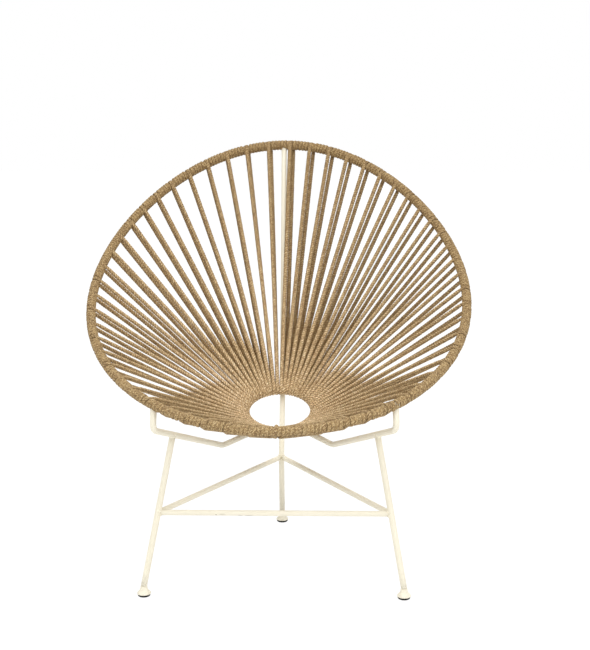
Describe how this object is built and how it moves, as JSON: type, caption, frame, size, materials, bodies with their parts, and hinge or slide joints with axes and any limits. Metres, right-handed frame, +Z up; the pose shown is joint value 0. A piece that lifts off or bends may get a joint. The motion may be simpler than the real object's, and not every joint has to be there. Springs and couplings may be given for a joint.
{
  "type": "acapulco chair",
  "caption": "Low lounge chair: an egg-shaped hoop strung with tan cord down to a small seat ring, standing on a cream painted wire frame with splayed legs.",
  "frame": {"origin": "on the floor under the middle of the hoop", "axes": "+Z up, -Y the front that the sitter faces, +X to the right as seen from the front"},
  "size_m": [0.7883, 0.8288, 0.8385],
  "materials": {
    "frame_paint": "smooth cream paint, slightly glossy",
    "foot_rubber": "matt black",
    "cord": "tan twisted cord, matt"
  },
  "bodies": {
    "root": {"hoop_rod": "frame_paint", "seat_ring_rod": "frame_paint", "rear_leg_and_spine": "frame_paint", "yoke_right": "frame_paint", "yoke_left": "frame_paint", "front_leg_right": "frame_paint", "front_leg_left": "frame_paint", "stretcher_front": "frame_paint", "stretcher_right": "frame_paint", "stretcher_left": "frame_paint", "foot_cap_right": "frame_paint", "foot_cap_left": "frame_paint", "foot_cap_rear": "frame_paint", "weld_spine_hoop": "frame_paint", "weld_spine_ring": "frame_paint", "weld_yoke_hoop_right": "frame_paint", "weld_yoke_ring_right": "frame_paint", "weld_leg_yoke_right": "frame_paint", "weld_yoke_hoop_left": "frame_paint", "weld_yoke_ring_left": "frame_paint", "weld_leg_yoke_left": "frame_paint", "weld_corner_right": "frame_paint", "weld_corner_left": "frame_paint", "weld_corner_rear": "frame_paint", "foot_pad_right": "foot_rubber", "foot_pad_left": "foot_rubber", "foot_pad_rear": "foot_rubber", "rim_winding_right": "cord", "rim_winding_front": "cord", "rim_winding_left": "cord", "seat_cord_01": "cord", "seat_cord_02": "cord", "seat_cord_03": "cord", "seat_cord_04": "cord", "seat_cord_05": "cord", "seat_cord_06": "cord", "seat_cord_07": "cord", "seat_cord_08": "cord", "seat_cord_09": "cord", "seat_cord_10": "cord", "seat_cord_11": "cord", "seat_cord_12": "cord", "seat_cord_13": "cord", "seat_cord_14": "cord"}
  },
  "joints": []
}
